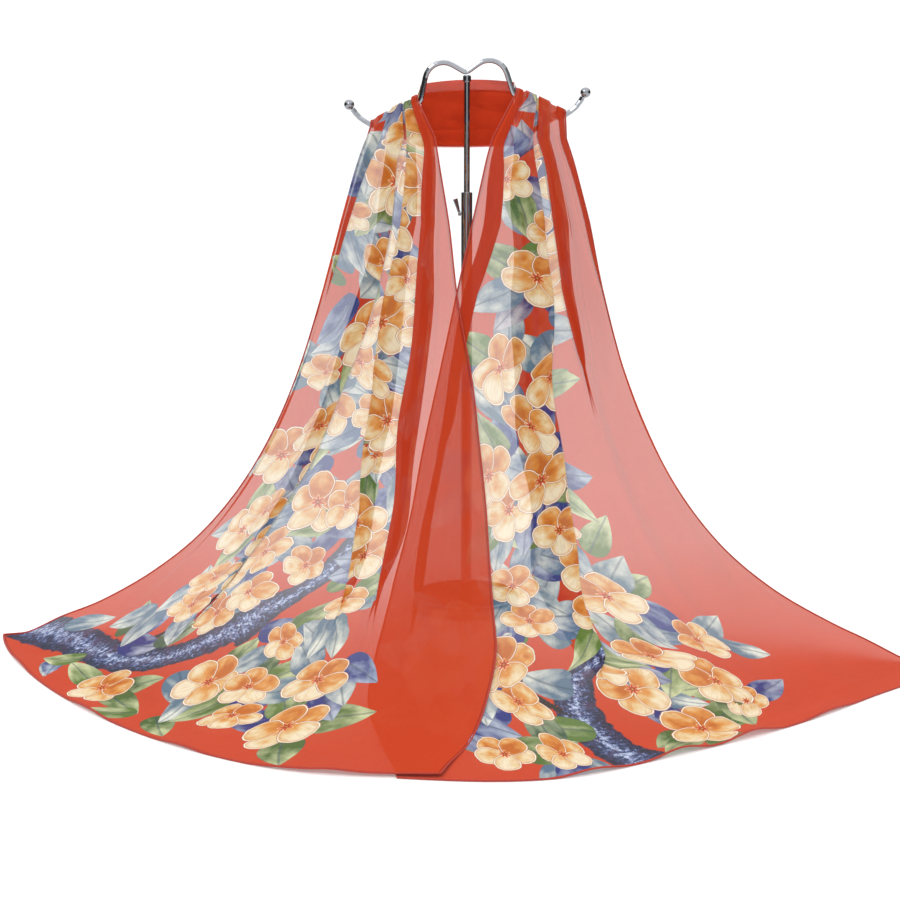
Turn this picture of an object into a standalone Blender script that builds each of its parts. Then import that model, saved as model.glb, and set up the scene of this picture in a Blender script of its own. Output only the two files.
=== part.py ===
"""A chiffon scarf hung over a chrome scarf stand, with both printed ends fanned out on the table.

Metres, +Z up. The origin is the centre of the stand base's underside, and the scarf's ends open towards -Y.
Each half of the scarf hangs on one elliptical form round the stand's axis: an angle of 0 is straight out
to that half's own side, 90 is straight ahead, and past 90 the halves cross, the left one in front.
"""

import math

import bmesh
import bpy
from mathutils import Vector

# Stand
BASE_RADIUS = 0.058
BASE_THICKNESS = 0.013
BASE_ROUNDING = 0.003
LOWER_TUBE_RADIUS = 0.0058
LOWER_TUBE_BORE = 0.0036
LOWER_TUBE_TOP = 0.443
POST_RADIUS = 0.0031
POST_FOOT = 0.370
POST_TOP = 0.5606
POST_COLLAR_RADIUS = 0.0042
POST_COLLAR_HEIGHT = 0.007
WIRE_RADIUS = 0.0027
BALL_RADIUS = 0.0053
SCREW_HEIGHT = 0.421
SCREW_SHANK_RADIUS = 0.0013
SCREW_HOLE_RADIUS = 0.0017
SCREW_HUB_RADIUS = 0.0026
SCREW_HUB_LENGTH = 0.0030
SCREW_WING_REACH = (0.0045, 0.0150)  # how far the wing's tip stands out from the hub, and up from it
SCREW_WING_RADII = (0.0012, 0.0027)  # at the hub and at the flared tip
GAP = 0.0003

# Cloth
CLOTH_WALL = 0.0012
TUCK_RELIEF = 0.0016  # how far the stacked layers of a tuck stand proud of the single cloth
CROSSED_RELIEF = 0.0010  # the same where the other half lies over the tuck
CROSSED_FROM = 74.0  # degrees: from here on, the two halves can lie over each other
CROSSING_LIFT = 0.0030  # the left half's distance from the right half under it
SELVEDGE_RISE = 0.009  # how much higher the outer selvedge runs just before it meets the table
SELVEDGE_RISE_ANGLE = 16.0  # degrees over which that rise dies away across the cloth
SHOULDER_WALL = 0.0024
SHOULDER_CLEARANCE = 0.0034  # from the arm wire's axis to the cloth's inner face
TUCK_SWELL = 0.0045  # each tuck's soft roll away from the form
HEM_RADIUS = 0.0008
BAND_THICKNESS = 0.0050
BAND_STRIP_THICKNESS = 0.0020
BAND_STRIP_HEIGHT = 0.009
BAND_FOLD_HEIGHT = 0.017
BAND_DEPTH = 0.0105  # from the stand's axis to the band's front face at its ends
BAND_BOW = 0.007  # how much further back the band is at its middle
FORM_DEPTH_AT_TOP = 0.032  # the form's half-depth where its half-width is FORM_TOP_REACH
FORM_TOP_REACH = 0.105
FORM_END_REACH = 0.478  # here the form is round: half-depth and half-width agree

# The wire's corners from the left ball to the right ball, with the bend radius at each.
WIRE_CORNERS = (
    # corner, x, z, bend radius
    ("left ball", -0.1206, 0.5312, 0.0),
    ("left arm curl", -0.1105, 0.5180, 0.030),
    ("left arm low point", -0.0920, 0.5075, 0.012),
    ("left leg foot", -0.0475, 0.5345, 0.006),
    ("left loop", -0.0375, 0.5835, 0.019),
    ("dip over the post", -0.0011, 0.5632, 0.005),
    ("right loop", 0.0325, 0.5865, 0.019),
    ("right leg foot", 0.0475, 0.5420, 0.006),
    ("right arm low point", 0.0935, 0.5165, 0.012),
    ("right arm curl", 0.1125, 0.5285, 0.030),
    ("right ball", 0.1211, 0.5433, 0.0),
)

# Sections down each half. Reach is the form's half-width and height is its underside there;
# the angles are where each half's outer selvedge and inner edge lie.
SECTIONS = (
    # reach, height, left outer, left inner, right outer, right inner
    (0.105, 0.4970, 14, 72, 17, 76),
    (0.115, 0.4700, 14, 76, 19, 81),
    (0.132, 0.4120, 14, 82, 22, 88),
    (0.152, 0.3450, 14, 86, 26, 94),
    (0.177, 0.2680, 14, 91, 29, 99),
    (0.205, 0.2030, 14, 93, 29, 102),
    (0.240, 0.1450, 14, 94, 28, 103),
    (0.285, 0.0920, 14, 94, 27, 104),
    (0.334, 0.0520, 14, 94, 26, 104),
    (0.385, 0.0220, 14, 92, 25, 103),
    (0.425, 0.0060, 13, 90, 25, 100),
    (0.450, 0.0000, 13, 88, 25, 98),
    (0.472, 0.0000, 13, 87, 25, 97),
)
# The reach of each end hem at even steps from the outer selvedge to the inner edge: its line is uneven.
END_REACH = {
    "left": ((0.484,), (0.472,), (0.468,), (0.474,), (0.481,), (0.474,)),
    "right": ((0.494,), (0.465,), (0.457,), (0.461,), (0.480,), (0.478,)),
}
SPREAD_SECTION = 9  # the fall ends and the spread begins at this row

# Tucks of each half, with the angles they lie between at some of the sections.
TUCKS = {
    "left": (
        ("outer tuck", ((0, 22, 34), (2, 22, 28), (3.5, 24, 25), (12, 24, 25))),
        (
            "slanting tuck",
            ((0, 40, 52), (2, 47, 56), (3, 44, 55), (4, 42, 51), (5, 40, 46), (7, 40, 43), (12, 40, 41)),
        ),
        ("main tuck", ((0, 56, 61), (2, 60, 67), (4, 58, 67), (5, 61, 67), (6, 65, 69), (9, 68, 69), (12, 68, 69))),
        ("column tuck", ((0, 64, 70), (2, 70, 77), (4, 70, 77), (6, 72, 76), (9, 74, 75), (12, 74, 75))),
    ),
    "right": (
        ("turned edge", ((0, 19, 27), (2, 24, 29), (3, 29, 32), (4, 31, 33), (5, 31, 32), (12, 28, 29))),
        ("outer tuck", ((0, 36, 48), (2, 40, 51), (3, 46, 53), (4, 49, 52), (6, 50, 51), (12, 50, 51))),
        (
            "main tuck",
            ((0, 52, 64), (2, 54, 70), (3, 57, 74), (4, 61, 75), (5, 64, 76), (7, 68, 77), (9, 72, 73), (12, 72, 73)),
        ),
        (
            "inner tuck",
            ((0, 68, 73), (1, 71, 78), (2, 76, 84), (3, 86, 91), (4, 92, 96), (5, 96, 99), (7, 98, 101))
            + ((9, 99, 100), (12, 94, 95)),
        ),
    ),
}
TUCK_VANISHES_UNDER = 3.0  # degrees: a narrower tuck flattens out
TUCK_EDGE = 0.8  # degrees over which the relief of a tuck falls away

# Where each shoulder crosses its arm (outer and inner edge of the cloth), and where it meets the neck band.
SHOULDERS = {
    # side: outer (x, z), inner (x, z), band end x, band bottom z, band top z
    "left": ((-0.0980, 0.5118), (-0.0508, 0.5360), -0.0475, 0.489, 0.553),
    "right": ((0.1005, 0.5218), (0.0508, 0.5440), 0.0490, 0.490, 0.555),
}
BAND_TOP_RISE = 0.004  # how much higher the band's top edge is at its middle

SIDES = ("left", "right")
MIRROR = {"left": -1.0, "right": 1.0}

COLOURS = {
    # finish: linear colour, metallic, roughness
    "chrome": ((0.62, 0.63, 0.65), 1.0, 0.08),
    "chiffon": ((0.60, 0.10, 0.02), 0.0, 0.80),
    "hem": ((0.38, 0.04, 0.01), 0.0, 0.85),
}


def clear_scene():
    for old in list(bpy.data.objects):
        bpy.data.objects.remove(old, do_unlink=True)


def make_collection(name, is_helper=False):
    made = bpy.data.collections.new(name)
    bpy.context.scene.collection.children.link(made)
    made.hide_render = is_helper
    return made


def make_material(name, finish):
    colour, metallic, roughness = COLOURS[finish]
    material = bpy.data.materials.new(name)
    material.use_nodes = True
    shader = material.node_tree.nodes["Principled BSDF"]
    shader.inputs["Base Color"].default_value = (*colour, 1.0)
    shader.inputs["Metallic"].default_value = metallic
    shader.inputs["Roughness"].default_value = roughness
    material.diffuse_color = (*colour, 1.0)
    return material


def link_part(name, data, collection, finish):
    part = bpy.data.objects.new(name, data)
    collection.objects.link(part)
    data.materials.append(make_material(name, finish))
    return part


def mesh_from_bmesh(name, shape):
    bmesh.ops.recalc_face_normals(shape, faces=shape.faces)
    mesh = bpy.data.meshes.new(name)
    shape.to_mesh(mesh)
    shape.free()
    return mesh


def shade_round(mesh, sharp_over=40):
    mesh.shade_smooth()
    mesh.set_sharp_from_angle(angle=math.radians(sharp_over))


# Stand


def turned(name, profile, collection, finish, steps=32):
    """A turned piece: profile is (radius, height) pairs that run down its outer side."""
    mesh = bpy.data.meshes.new(name)
    edges = [(index, index + 1) for index in range(len(profile) - 1)]
    mesh.from_pydata([(radius, 0.0, height) for radius, height in profile], edges, [])
    part = link_part(name, mesh, collection, finish)
    screw = part.modifiers.new("Turn", "SCREW")
    screw.steps = screw.render_steps = steps
    screw.use_merge_vertices = True
    screw.merge_threshold = 0.00005
    screw.use_smooth_shade = True
    return part


def rounded_route(corners, step_angle=15.0):
    """Points along straight runs joined by arcs of each corner's bend radius, in the XZ plane."""
    points = [Vector((corners[0][1], 0.0, corners[0][2]))]
    for before, corner, after in zip(corners, corners[1:], corners[2:]):
        here = Vector((corner[1], 0.0, corner[2]))
        towards_before = (Vector((before[1], 0.0, before[2])) - here).normalized()
        towards_after = (Vector((after[1], 0.0, after[2])) - here).normalized()
        half_angle = towards_before.angle(towards_after) / 2
        tangent_length = corner[3] / math.tan(half_angle)
        centre = here + (towards_before + towards_after).normalized() * corner[3] / math.sin(half_angle)
        start = here + towards_before * tangent_length - centre
        end = here + towards_after * tangent_length - centre
        steps = max(2, round(math.degrees(start.angle(end)) / step_angle))
        points += [centre + start.slerp(end, index / steps) * corner[3] for index in range(steps + 1)]
    points.append(Vector((corners[-1][1], 0.0, corners[-1][2])))
    return points


def tube_along(name, points, radius, collection, finish, sides_resolution):
    curve = bpy.data.curves.new(name, "CURVE")
    curve.dimensions = "3D"
    curve.bevel_depth = radius
    curve.bevel_resolution = sides_resolution
    curve.use_fill_caps = True
    spline = curve.splines.new("POLY")
    spline.points.add(len(points) - 1)
    for spot, point in zip(spline.points, points):
        spot.co = (*point, 1.0)
    spline.use_smooth = True
    return link_part(name, curve, collection, finish)


def make_base(collection):
    shape = bmesh.new()
    bmesh.ops.create_cone(
        shape, cap_ends=True, segments=64, radius1=BASE_RADIUS, radius2=BASE_RADIUS, depth=BASE_THICKNESS
    )
    base = link_part("stand_base", mesh_from_bmesh("stand_base", shape), collection, "chrome")
    base.location.z = BASE_THICKNESS / 2
    rounding = base.modifiers.new("Rounded rim", "BEVEL")
    rounding.width = BASE_ROUNDING
    rounding.segments = 3
    rounding.limit_method = "ANGLE"
    shade_round(base.data)
    return base


def make_lower_tube(collection, helpers):
    foot = BASE_THICKNESS + GAP
    rim = 0.0006
    tube = turned(
        "stand_lower_tube",
        (
            (LOWER_TUBE_BORE, LOWER_TUBE_TOP),
            (LOWER_TUBE_RADIUS - rim, LOWER_TUBE_TOP),
            (LOWER_TUBE_RADIUS, LOWER_TUBE_TOP - rim),
            (LOWER_TUBE_RADIUS, foot),
            (LOWER_TUBE_BORE, foot),
            (LOWER_TUBE_BORE, LOWER_TUBE_TOP),
        ),
        collection,
        "chrome",
    )
    shape = bmesh.new()
    bmesh.ops.create_cone(
        shape, cap_ends=True, segments=16, radius1=SCREW_HOLE_RADIUS, radius2=SCREW_HOLE_RADIUS, depth=LOWER_TUBE_RADIUS
    )
    drill = bpy.data.objects.new("clamp_screw_drill", mesh_from_bmesh("clamp_screw_drill", shape))
    helpers.objects.link(drill)
    drill.rotation_euler.y = math.pi / 2
    drill.location = (-LOWER_TUBE_RADIUS, 0.0, SCREW_HEIGHT)
    drill.hide_render = True
    drill.display_type = "WIRE"
    hole = tube.modifiers.new("Clamp screw hole", "BOOLEAN")
    hole.operation = "DIFFERENCE"
    hole.object = drill
    return tube


def make_upper_post(collection):
    shoulder = POST_TOP - POST_COLLAR_HEIGHT
    chamfer = 0.0010
    return turned(
        "stand_upper_post",
        (
            (0.0, POST_TOP),
            (POST_COLLAR_RADIUS - chamfer, POST_TOP),
            (POST_COLLAR_RADIUS, POST_TOP - chamfer),
            (POST_COLLAR_RADIUS, shoulder + chamfer),
            (POST_RADIUS, shoulder),
            (POST_RADIUS, POST_FOOT),
            (0.0, POST_FOOT),
        ),
        collection,
        "chrome",
    )


def make_clamp_screw(collection):
    """A small wing screw whose axis runs out of the tube's left side: its wing stands up at rest."""
    hub_start = -LOWER_TUBE_RADIUS - GAP
    shape = bmesh.new()

    def add_round(start, end, radii, segments=16):
        made = bmesh.ops.create_cone(
            shape, cap_ends=True, segments=segments, radius1=radii[0], radius2=radii[1], depth=(end - start).length
        )
        turn = (end - start).to_track_quat("Z", "Y").to_matrix().to_4x4()
        bmesh.ops.transform(shape, matrix=turn, verts=made["verts"])
        bmesh.ops.translate(shape, vec=(start + end) / 2, verts=made["verts"])

    hub_end = hub_start - SCREW_HUB_LENGTH
    add_round(Vector((hub_start, 0, 0)), Vector((hub_end, 0, 0)), (SCREW_HUB_RADIUS, SCREW_HUB_RADIUS * 0.85))
    hub = bpy.data.objects.new("clamp_screw", mesh_from_bmesh("clamp_screw", shape))
    collection.objects.link(hub)
    hub.data.materials.append(make_material("clamp_screw", "chrome"))
    hub.location = (0.0, 0.0, SCREW_HEIGHT)

    helpers = bpy.data.collections["Cutters"]
    middle = Vector(((hub_start + hub_end) / 2, 0.0, 0.0))
    tip = middle + Vector((-SCREW_WING_REACH[0], 0.0, SCREW_WING_REACH[1]))
    shank_start = Vector((-POST_RADIUS - GAP, 0.0, 0.0))
    for name, start, end, radii in (
        ("clamp_screw_wing", middle, tip, SCREW_WING_RADII),
        ("clamp_screw_shank", shank_start, middle, (SCREW_SHANK_RADIUS, SCREW_SHANK_RADIUS)),
    ):
        shape = bmesh.new()
        add_round(start, end, radii)
        piece = bpy.data.objects.new(name, mesh_from_bmesh(name, shape))
        helpers.objects.link(piece)
        piece.location = (0.0, 0.0, SCREW_HEIGHT)
        piece.hide_render = True
        piece.display_type = "WIRE"
        joined = hub.modifiers.new(name, "BOOLEAN")
        joined.operation = "UNION"
        joined.object = piece
    shade_round(hub.data)
    return hub


def make_wire_and_balls(collection):
    route = rounded_route(WIRE_CORNERS)
    for name, end, neighbour in (("ball_left", 0, 1), ("ball_right", -1, -2)):
        inwards = (route[neighbour] - route[end]).normalized()
        shape = bmesh.new()
        bmesh.ops.create_uvsphere(shape, u_segments=24, v_segments=16, radius=BALL_RADIUS)
        ball = link_part(name, mesh_from_bmesh(name, shape), collection, "chrome")
        ball.location = route[end]
        ball.data.shade_smooth()
        route[end] = route[end] + inwards * (BALL_RADIUS + GAP)
    return tube_along("stand_top_wire", route, WIRE_RADIUS, collection, "chrome", sides_resolution=2)


# Cloth


def row_values(rows, at):
    """The table's values at a fractional row, on a smooth curve through the rows."""
    index = min(int(at), len(rows) - 2)
    part = at - index
    before, start, end, after = (rows[min(max(index + step, 0), len(rows) - 1)] for step in (-1, 0, 1, 2))
    values = []
    for p, q, r, s in zip(before, start, end, after):
        slope_in, slope_out = (r - p) / 2, (s - q) / 2
        if q == r:
            slope_in = slope_out = 0.0
        values.append(
            q
            + part * slope_in
            + part**2 * (3 * (r - q) - 2 * slope_in - slope_out)
            + part**3 * (2 * (q - r) + slope_in + slope_out)
        )
    return values


def edge_angles(side, at):
    values = row_values(SECTIONS, at)
    return (values[2], values[3]) if side == "left" else (values[4], values[5])


def tuck_angles(rows, at):
    """Where a tuck starts and ends at this section, read between its rows."""
    for (low, low_from, low_to), (high, high_from, high_to) in zip(rows, rows[1:]):
        if at <= high:
            part = (at - low) / (high - low)
            return low_from + part * (high_from - low_from), low_to + part * (high_to - low_to)
    return rows[-1][1], rows[-1][2]


def on_form(side, at, angle):
    """The point of the form at this section and angle, before tucks and crossing."""
    reach, height = row_values(SECTIONS, at)[:2]
    outer, inner = edge_angles(side, at)
    part = min(max((angle - outer) / (inner - outer), 0.0), 1.0)
    end_reach = row_values(END_REACH[side], part * (len(END_REACH[side]) - 1))[0]
    reach *= 1 + (end_reach / SECTIONS[-1][0] - 1) * smooth_step(at, 8.0, 12.0)
    depth = FORM_END_REACH - (FORM_END_REACH - reach) * (FORM_END_REACH - FORM_DEPTH_AT_TOP) / (
        FORM_END_REACH - FORM_TOP_REACH
    )
    rise = SELVEDGE_RISE * smooth_step(at, 6.0, 9.5) * (1 - smooth_step(at, 9.5, 11.5))
    height += rise * (1 - smooth_step(angle, outer, outer + SELVEDGE_RISE_ANGLE))
    turn = math.radians(angle)
    return Vector((MIRROR[side] * reach * math.cos(turn), -depth * math.sin(turn), max(height, 0.0)))


def form_normal(side, at, angle):
    """The direction out of the form, straight up where it lies on the table."""
    step = 0.02
    low, high = max(at - step, 0.0), min(at + step, len(SECTIONS) - 1)
    along = on_form(side, high, angle) - on_form(side, low, angle)
    across = on_form(side, at, angle + 1) - on_form(side, at, angle - 1)
    normal = along.cross(across).normalized() * MIRROR[side]
    return -normal if normal.z < 0 else normal


def smooth_step(value, low, high):
    part = min(max((value - low) / (high - low), 0.0), 1.0)
    return part * part * (3 - 2 * part)


def swell(side, at, angle):
    """The soft roll of the cloth over its tucks, none on the table or where the halves cross."""
    off_table = 1 - smooth_step(at, 5.0, 9.0)
    off_shoulder = 0.3 + 0.7 * smooth_step(at, 0.0, 2.0)
    uncrossed = 1 - smooth_step(angle, CROSSED_FROM - 12, CROSSED_FROM)
    total = 0.0
    for _, rows in TUCKS[side]:
        start, end = tuck_angles(rows, at)
        middle, half = (start + end) / 2, (end - start) / 2 + 3
        total += math.exp(-(((angle - middle) / half) ** 2))
    return TUCK_SWELL * total * off_table * off_shoulder * uncrossed


def lift(side, angle):
    """The left half's lift over the right half."""
    return CROSSING_LIFT * smooth_step(angle, CROSSED_FROM - 8, CROSSED_FROM) if side == "left" else 0.0


def angles_and_relief(side, at):
    """Angles across one section, from the outer selvedge to the inner edge, with the tucks' relief at each."""
    outer, inner = edge_angles(side, at)
    placed = [(outer, 0.0)]
    for _, rows in TUCKS[side]:
        start, end = tuck_angles(rows, at)
        height = CROSSED_RELIEF if (start > CROSSED_FROM and side == "right") else TUCK_RELIEF
        height *= min(1.0, max(end - start - 1, 0.0) / TUCK_VANISHES_UNDER)
        gap_start = placed[-1][0]
        gap = start - TUCK_EDGE - gap_start
        placed += [(gap_start + gap / 3, 0.0), (gap_start + gap * 2 / 3, 0.0)]
        placed += [(start - TUCK_EDGE, 0.0), (start, height), ((start + end) / 2, height), (end, height)]
        placed.append((end + TUCK_EDGE, 0.0))
    last = placed[-1][0]
    placed += [(last + (inner - last) / 3, 0.0), (last + (inner - last) * 2 / 3, 0.0), (inner, 0.0)]
    return placed


def shell(name, rows, collection, finish):
    """A closed wall from a grid of (inner point, outer point) pairs: rows run along the cloth."""
    shape = bmesh.new()
    inner = [[shape.verts.new(pair[0]) for pair in row] for row in rows]
    outer = [[shape.verts.new(pair[1]) for pair in row] for row in rows]

    def bridge(first, second):
        for index in range(len(first) - 1):
            shape.faces.new((first[index], first[index + 1], second[index + 1], second[index]))

    for grid in (inner, outer):
        for first, second in zip(grid, grid[1:]):
            bridge(first, second)
    for end in (0, -1):
        bridge(inner[end], outer[end])
        bridge([row[end] for row in inner], [row[end] for row in outer])
    bmesh.ops.triangulate(shape, faces=shape.faces)
    mesh = mesh_from_bmesh(name, shape)
    shade_round(mesh)
    return link_part(name, mesh, collection, finish)


def fall_row(side, at):
    row = []
    for angle, relief in angles_and_relief(side, at):
        out = form_normal(side, at, angle)
        inner = on_form(side, at, angle) + out * (swell(side, at, angle) + lift(side, angle))
        row.append((inner, inner + out * (CLOTH_WALL + relief)))
    return row


def section_steps(first, last, step):
    count = round((last - first) / step)
    return [first + (last - first) * index / count for index in range(count + 1)]


def seam_shift(at):
    """How much of a table row is one seam gap, at this section."""
    reach, height = row_values(SECTIONS, at)[:2]
    next_reach, next_height = row_values(SECTIONS, at + 0.1)[:2]
    return 0.1 * GAP / math.hypot(next_reach - reach, next_height - height)


def make_fall(side, collection):
    steps = section_steps(0.0, SPREAD_SECTION, 0.5)
    return shell(f"{side}_fall", [fall_row(side, at) for at in steps], collection, "chiffon")


def make_spread(side, collection):
    start = SPREAD_SECTION + seam_shift(SPREAD_SECTION)
    steps = section_steps(start, len(SECTIONS) - 1, 0.5)
    return shell(f"{side}_spread", [fall_row(side, at) for at in steps], collection, "chiffon")


def make_end_hem(side, collection):
    """The rolled hem round the end, lying on the table just outside the spread's own points."""
    last = len(SECTIONS) - 1
    points = []
    for angle, _ in angles_and_relief(side, last):
        edge = on_form(side, last, angle)
        outwards = Vector((edge.x, edge.y, 0.0)).normalized()
        points.append(edge + outwards * (HEM_RADIUS + GAP * 1.2) + Vector((0, 0, HEM_RADIUS + lift(side, angle))))
    return tube_along(f"{side}_end_hem", points, HEM_RADIUS, collection, "hem", sides_resolution=1)


def shoulder_rows(side):
    """Sections of the cloth from the top of its fall, over the arm and down behind it to the neck band."""
    outer_arm, inner_arm, band_x, band_bottom, band_top = SHOULDERS[side]
    outer_angle, inner_angle = edge_angles(side, 0.0)
    top_row = fall_row(side, 0.0)
    placed = angles_and_relief(side, 0.0)

    def arm(part):
        x, z = (low + (high - low) * part for low, high in zip(outer_arm, inner_arm))
        return Vector((x, 0.0, z))

    def band(part):
        return Vector((band_x, BAND_DEPTH, band_bottom + (band_top - band_bottom) * part))

    wrap = [(-1.0, 0.0), (-0.75, 0.66), (0.0, 1.0), (0.75, 0.66), (1.0, 0.0)]  # (back, up) round the wire
    rows = []
    seam = Vector((0.0, 0.0, GAP))
    for rise in (0.0, 0.35, 0.7):
        row = []
        for (angle, relief), (inner, outer) in zip(placed, top_row):
            part = (angle - outer_angle) / (inner_angle - outer_angle)
            front = arm(part) + Vector((0.0, -SHOULDER_CLEARANCE, 0.0))
            start = inner + seam
            point = start.lerp(front, rise)
            belly = (start.y - front.y) * rise * (1 - rise) * 0.6
            point.y += belly
            out = (outer - inner).normalized().lerp(Vector((0.0, -1.0, 0.0)), rise).normalized()
            row.append((point, point + out * (CLOTH_WALL + relief + (SHOULDER_WALL - CLOTH_WALL) * rise)))
        rows.append(row)
    for back, up in wrap:
        row = []
        for angle, relief in placed:
            part = (angle - outer_angle) / (inner_angle - outer_angle)
            out = Vector((0.0, back, up)).normalized()
            point = arm(part) + Vector((0.0, back, up)) * SHOULDER_CLEARANCE
            row.append((point, point + out * (SHOULDER_WALL + relief)))
        rows.append(row)
    for drop in (0.33, 0.67, 1.0):
        row = []
        for angle, relief in placed:
            part = (angle - outer_angle) / (inner_angle - outer_angle)
            point = (arm(part) + Vector((0.0, SHOULDER_CLEARANCE, 0.0))).lerp(band(part), drop)
            row.append((point, point + Vector((0.0, SHOULDER_WALL + relief * (1 - drop), 0.0))))
        rows.append(row)
    return rows


def make_shoulder(side, collection):
    return shell(f"{side}_shoulder", shoulder_rows(side), collection, "chiffon")


def band_ring(part):
    """One upright section of the neck band: a thin strip at the top, and the stacked folds below it."""
    start, end = SHOULDERS["left"][2] + GAP, SHOULDERS["right"][2] - GAP
    arch = 4 * part * (1 - part)
    x = start + (end - start) * part
    front = BAND_DEPTH + BAND_BOW * arch
    bottom, top = (
        low + (high - low) * part for low, high in zip(SHOULDERS["left"][3:], SHOULDERS["right"][3:])
    )
    top += BAND_TOP_RISE * arch
    bottom -= BAND_TOP_RISE * arch / 4
    back = front + BAND_THICKNESS
    strip = top - BAND_STRIP_HEIGHT
    fold = bottom + BAND_FOLD_HEIGHT
    rounding = BAND_THICKNESS / 4
    outline = (
        (front + rounding, bottom),
        (front, bottom + rounding),
        (front, fold),
        (front + rounding / 2, fold + rounding / 2),
        (front + rounding / 2, strip - rounding),
        (front + rounding, strip),
        (front + rounding, top),
        (front + rounding + BAND_STRIP_THICKNESS, top),
        (front + rounding + BAND_STRIP_THICKNESS, strip),
        (back, strip - rounding),
        (back, bottom + rounding),
        (back - rounding, bottom),
    )
    return [Vector((x, depth, height)) for depth, height in outline]


def make_neck_band(collection):
    shape = bmesh.new()
    rings = [[shape.verts.new(point) for point in band_ring(index / 12)] for index in range(13)]
    for first, second in zip(rings, rings[1:]):
        for index in range(len(first)):
            following = (index + 1) % len(first)
            shape.faces.new((first[index], first[following], second[following], second[index]))
    shape.faces.new(rings[0])
    shape.faces.new(rings[-1])
    bmesh.ops.triangulate(shape, faces=shape.faces)
    mesh = mesh_from_bmesh("neck_band", shape)
    shade_round(mesh)
    return link_part("neck_band", mesh, collection, "chiffon")


def main():
    clear_scene()
    part = make_collection("Chiffon scarf on display stand")
    helpers = make_collection("Cutters", is_helper=True)
    make_base(part)
    make_lower_tube(part, helpers)
    make_upper_post(part)
    make_clamp_screw(part)
    make_wire_and_balls(part)
    make_neck_band(part)
    for side in SIDES:
        make_shoulder(side, part)
        make_fall(side, part)
        make_spread(side, part)
        make_end_hem(side, part)


main()
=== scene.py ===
"""A printed chiffon scarf hung over a chrome scarf stand, with both ends fanned out on the table.

Each half of the scarf is one fine open sheet laid on the same form as its plain solids, from the
neck band over the arm of the stand and down to its end hem. Distances are in metres, +Z up.
"""

import math

import bpy
import numpy as np
from bpy.props import FloatProperty, FloatVectorProperty, IntProperty, PointerProperty
from bpy.types import Operator, Panel, PropertyGroup
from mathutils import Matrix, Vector


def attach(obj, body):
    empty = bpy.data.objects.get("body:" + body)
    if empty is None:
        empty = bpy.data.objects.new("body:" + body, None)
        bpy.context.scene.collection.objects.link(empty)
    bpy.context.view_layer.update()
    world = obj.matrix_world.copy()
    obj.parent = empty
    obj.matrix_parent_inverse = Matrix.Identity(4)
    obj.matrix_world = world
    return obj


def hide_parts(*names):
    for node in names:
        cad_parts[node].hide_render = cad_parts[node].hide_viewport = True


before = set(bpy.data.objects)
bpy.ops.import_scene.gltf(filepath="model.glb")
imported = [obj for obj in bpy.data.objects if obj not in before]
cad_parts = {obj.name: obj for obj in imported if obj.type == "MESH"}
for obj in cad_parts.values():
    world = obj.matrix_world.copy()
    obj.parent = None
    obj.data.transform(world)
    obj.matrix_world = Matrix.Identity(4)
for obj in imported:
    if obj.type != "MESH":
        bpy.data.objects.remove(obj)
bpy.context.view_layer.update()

bl_info = {
    "name": "Chiffon Scarf on a Stand",
    "version": (1, 0, 0),
    "blender": (4, 5, 0),
    "location": "3D View > Sidebar > Scarf",
    "description": "Makes the printed chiffon scarf, its hems, the stand's finish and the studio",
    "category": "Object",
}

SIDES = ("left", "right")
MIRROR = {"left": -1.0, "right": 1.0}

# The form that both halves hang on: the same tables as the plain solids.
SECTIONS = (
    # reach, height, left outer, left inner, right outer, right inner
    (0.105, 0.4970, 14, 72, 17, 76),
    (0.115, 0.4700, 14, 76, 19, 81),
    (0.132, 0.4120, 14, 82, 22, 88),
    (0.152, 0.3450, 14, 86, 26, 94),
    (0.177, 0.2680, 14, 91, 29, 99),
    (0.205, 0.2030, 14, 93, 29, 102),
    (0.240, 0.1450, 14, 94, 28, 103),
    (0.285, 0.0920, 14, 94, 27, 104),
    (0.334, 0.0520, 14, 94, 26, 104),
    (0.385, 0.0220, 14, 92, 25, 103),
    (0.425, 0.0060, 13, 90, 25, 100),
    (0.450, 0.0000, 13, 88, 25, 98),
    (0.472, 0.0000, 13, 87, 25, 97),
)
END_REACH = {
    "left": ((0.484,), (0.472,), (0.468,), (0.474,), (0.481,), (0.474,)),
    "right": ((0.494,), (0.465,), (0.457,), (0.461,), (0.480,), (0.478,)),
}
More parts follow.
